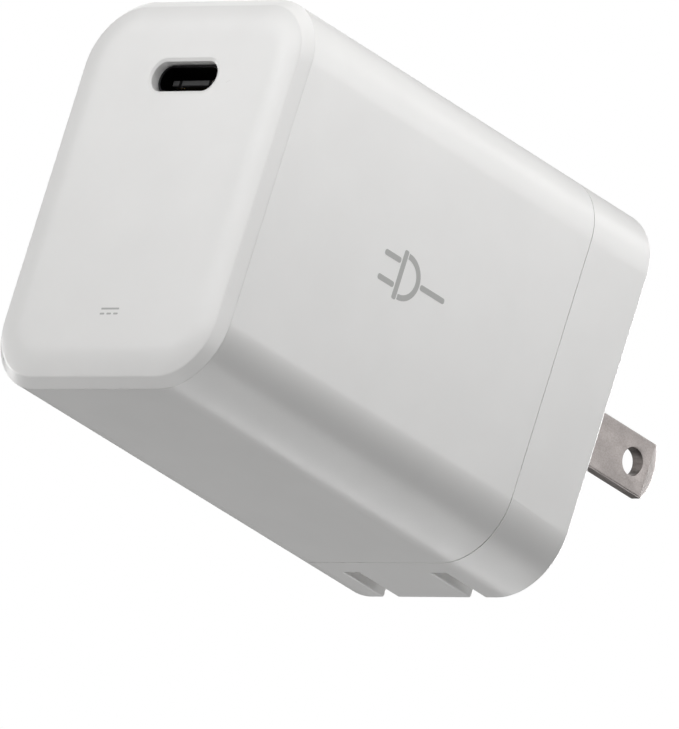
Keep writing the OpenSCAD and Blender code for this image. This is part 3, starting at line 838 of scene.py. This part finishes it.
dress(build_front_cap(), "casing_plastic", CASING, "front_cap")
dress(build_sleeve(), "casing_plastic", CASING, "main_sleeve")
dress(build_rear_cap(), "casing_plastic", CASING, "rear_cap")
dress(build_blade("live_prong", BLADE_X), "nickel_plate", PRONGS, "live_blade")
dress(build_blade("neutral_prong", -BLADE_X), "nickel_plate", PRONGS, "neutral_blade")
dress(build_usb_shell(), "receptacle_steel", CASING, "usb_shell")
dress(build_usb_insulator(), "receptacle_plastic", CASING, "usb_insulator")
dress(build_usb_contacts(), "gold_plate", CASING, "usb_contacts")
dress(build_side_mark(), "grey_ink", CASING)
dress(build_front_mark(), "grey_ink", CASING)

slot_of = {s["node"]: s["material_slot"] for s in frame["record"]["subparts"]}
for node_name, node_object in frame["nodes"].items():
    if node_object.hide_render:
        continue
    node_object.data.materials.clear()
    node_object.data.materials.append(materials[slot_of[node_name]])
    soften(node_object)


# ---------------------------------------------------------------- stage, light and camera

def build_floor():
    """Pale floor just under the body; it is clear from below and adds nothing to the light."""
    half_size, gap = 12.0, 0.05 * MM
    fade_start, fade_end = 0.05, 0.22          # metres from the middle, where it turns to pure white
    bm = bmesh.new()
    bmesh.ops.create_grid(bm, x_segments=1, y_segments=1, size=half_size)
    floor = finish_mesh("floor", bm)
    floor.data.transform(Matrix.Translation((0, 0, cad_low.z - gap)))
    n = Nodes("floor")
    n.shader.inputs["Base Color"].default_value = (0.85, 0.85, 0.85, 1)
    n.shader.inputs["Roughness"].default_value = 0.8
    facing = n.add("ShaderNodeNewGeometry")
    clear = n.add("ShaderNodeBsdfTransparent")
    glow = n.add("ShaderNodeEmission", Strength=1.0)
    distance = n.add("ShaderNodeVectorMath", operation="LENGTH")
    n.link(n.place, "Object", distance, 0)
    fade = n.remap(distance, "Value", from_low=fade_start, from_high=fade_end)
    fade.interpolation_type = "SMOOTHSTEP"
    surface = n.add("ShaderNodeMixShader")
    n.link(fade, "Result", surface, 0)
    n.link(n.shader, "BSDF", surface, 1)
    n.link(glow, "Emission", surface, 2)
    side = n.add("ShaderNodeMixShader")
    n.link(facing, "Backfacing", side, 0)
    n.link(surface, "Shader", side, 1)
    n.link(clear, "BSDF", side, 2)
    n.link(side, "Shader", n.output, "Surface")
    floor.data.materials.append(n.material)
    floor.visible_diffuse = False
    floor.visible_glossy = False
    floor.visible_transmission = False
    floor.visible_shadow = False


def build_world(ambient):
    """White behind the object, and an even grey glow on it."""
    world = bpy.data.worlds.new("studio")
    bpy.context.scene.world = world
    world.use_nodes = True
    tree = world.node_tree
    tree.nodes.clear()
    output = tree.nodes.new("ShaderNodeOutputWorld")
    seen = tree.nodes.new("ShaderNodeBackground")
    seen.inputs["Color"].default_value = (1, 1, 1, 1)
    glow = tree.nodes.new("ShaderNodeBackground")
    glow.inputs["Color"].default_value = (ambient, ambient, ambient, 1)
    path = tree.nodes.new("ShaderNodeLightPath")
    mix = tree.nodes.new("ShaderNodeMixShader")
    tree.links.new(path.outputs["Is Camera Ray"], mix.inputs[0])
    tree.links.new(glow.outputs[0], mix.inputs[1])
    tree.links.new(seen.outputs[0], mix.inputs[2])
    tree.links.new(mix.outputs[0], output.inputs["Surface"])


def softbox(name, direction, power, width=0.14, height=None, distance=0.3):
    """A soft light that looks at the middle of the body: a disk, or a rectangle if it has a height.

    Sizes and distances are in metres, powers in watts."""
    middle = Vector((0, FACE_Y / 2, 0))
    data = bpy.data.lights.new(name, "AREA")
    data.shape = "RECTANGLE" if height else "DISK"
    data.size = width
    data.size_y = height or width
    data.energy = power
    light = bpy.data.objects.new(name, data)
    bpy.context.scene.collection.objects.link(light)
    towards = Vector(direction).normalized()
    light.location = middle + towards * distance
    light.rotation_mode = "QUATERNION"
    light.rotation_quaternion = (-towards).to_track_quat("-Z", "Y")
    light.visible_camera = False


def build_camera():
    """Long lens below and to the right of the port face, tipped so that the body runs down to the right."""
    azimuth, elevation, roll = math.radians(47.6), math.radians(-16.67), math.radians(17.27)
    distance, lens_mm, sensor_mm = 2.504, 1200, 36
    aim_y, shift_right, shift_up = -27.5 * MM, 1.72 * MM, -6.84 * MM
    back = Vector((math.sin(azimuth) * math.cos(elevation), -math.cos(azimuth) * math.cos(elevation),
                   math.sin(elevation)))
    level = Vector((math.cos(azimuth), math.sin(azimuth), 0))
    right = level * math.cos(roll) + back.cross(level) * math.sin(roll)
    up = back.cross(right)
    data = bpy.data.cameras.new("camera")
    data.lens = lens_mm
    data.sensor_width = sensor_mm
    data.clip_start, data.clip_end = 0.1, 20
    camera = bpy.data.objects.new("camera", data)
    bpy.context.scene.collection.objects.link(camera)
    aim = Vector((0, aim_y, 0)) + right * shift_right + up * shift_up
    turned = Matrix((right, up, back)).transposed().to_4x4()
    camera.matrix_world = Matrix.Translation(aim + back * distance) @ turned
    bpy.context.scene.camera = camera


build_floor()
build_world(ambient=0.05)
softbox("key_above_right", (0.6, -0.15, 0.8), 0.22, distance=0.18)
softbox("front_above_left", (-0.3, -0.9, 0.35), 0.2)
softbox("front_above_right", (0.45, -0.8, 0.4), 0.14)
softbox("front_right", (0.55, -0.8, -0.1), 0.17)
softbox("front_left", (-0.55, -0.7, 0.4), 0.16)
softbox("side_right", (0.7, 0.6, 0.4), 0.16)
softbox("side_left", (-0.95, -0.15, -0.1), 0.3)
softbox("rear_above", (0.25, 0.75, 0.6), 0.11)
softbox("rear_left_above", (-0.7, 0.4, 0.6), 0.06)
softbox("rear_left", (-0.2, 0.95, 0.2), 0.5)
softbox("below", (-0.2, -0.28, -0.93), 0.24)
softbox("below_rear_strip", (0.05, 0.65, -0.73), 0.26, width=0.34, height=0.06)
build_camera()
bpy.context.scene.view_settings.view_transform = "Standard"
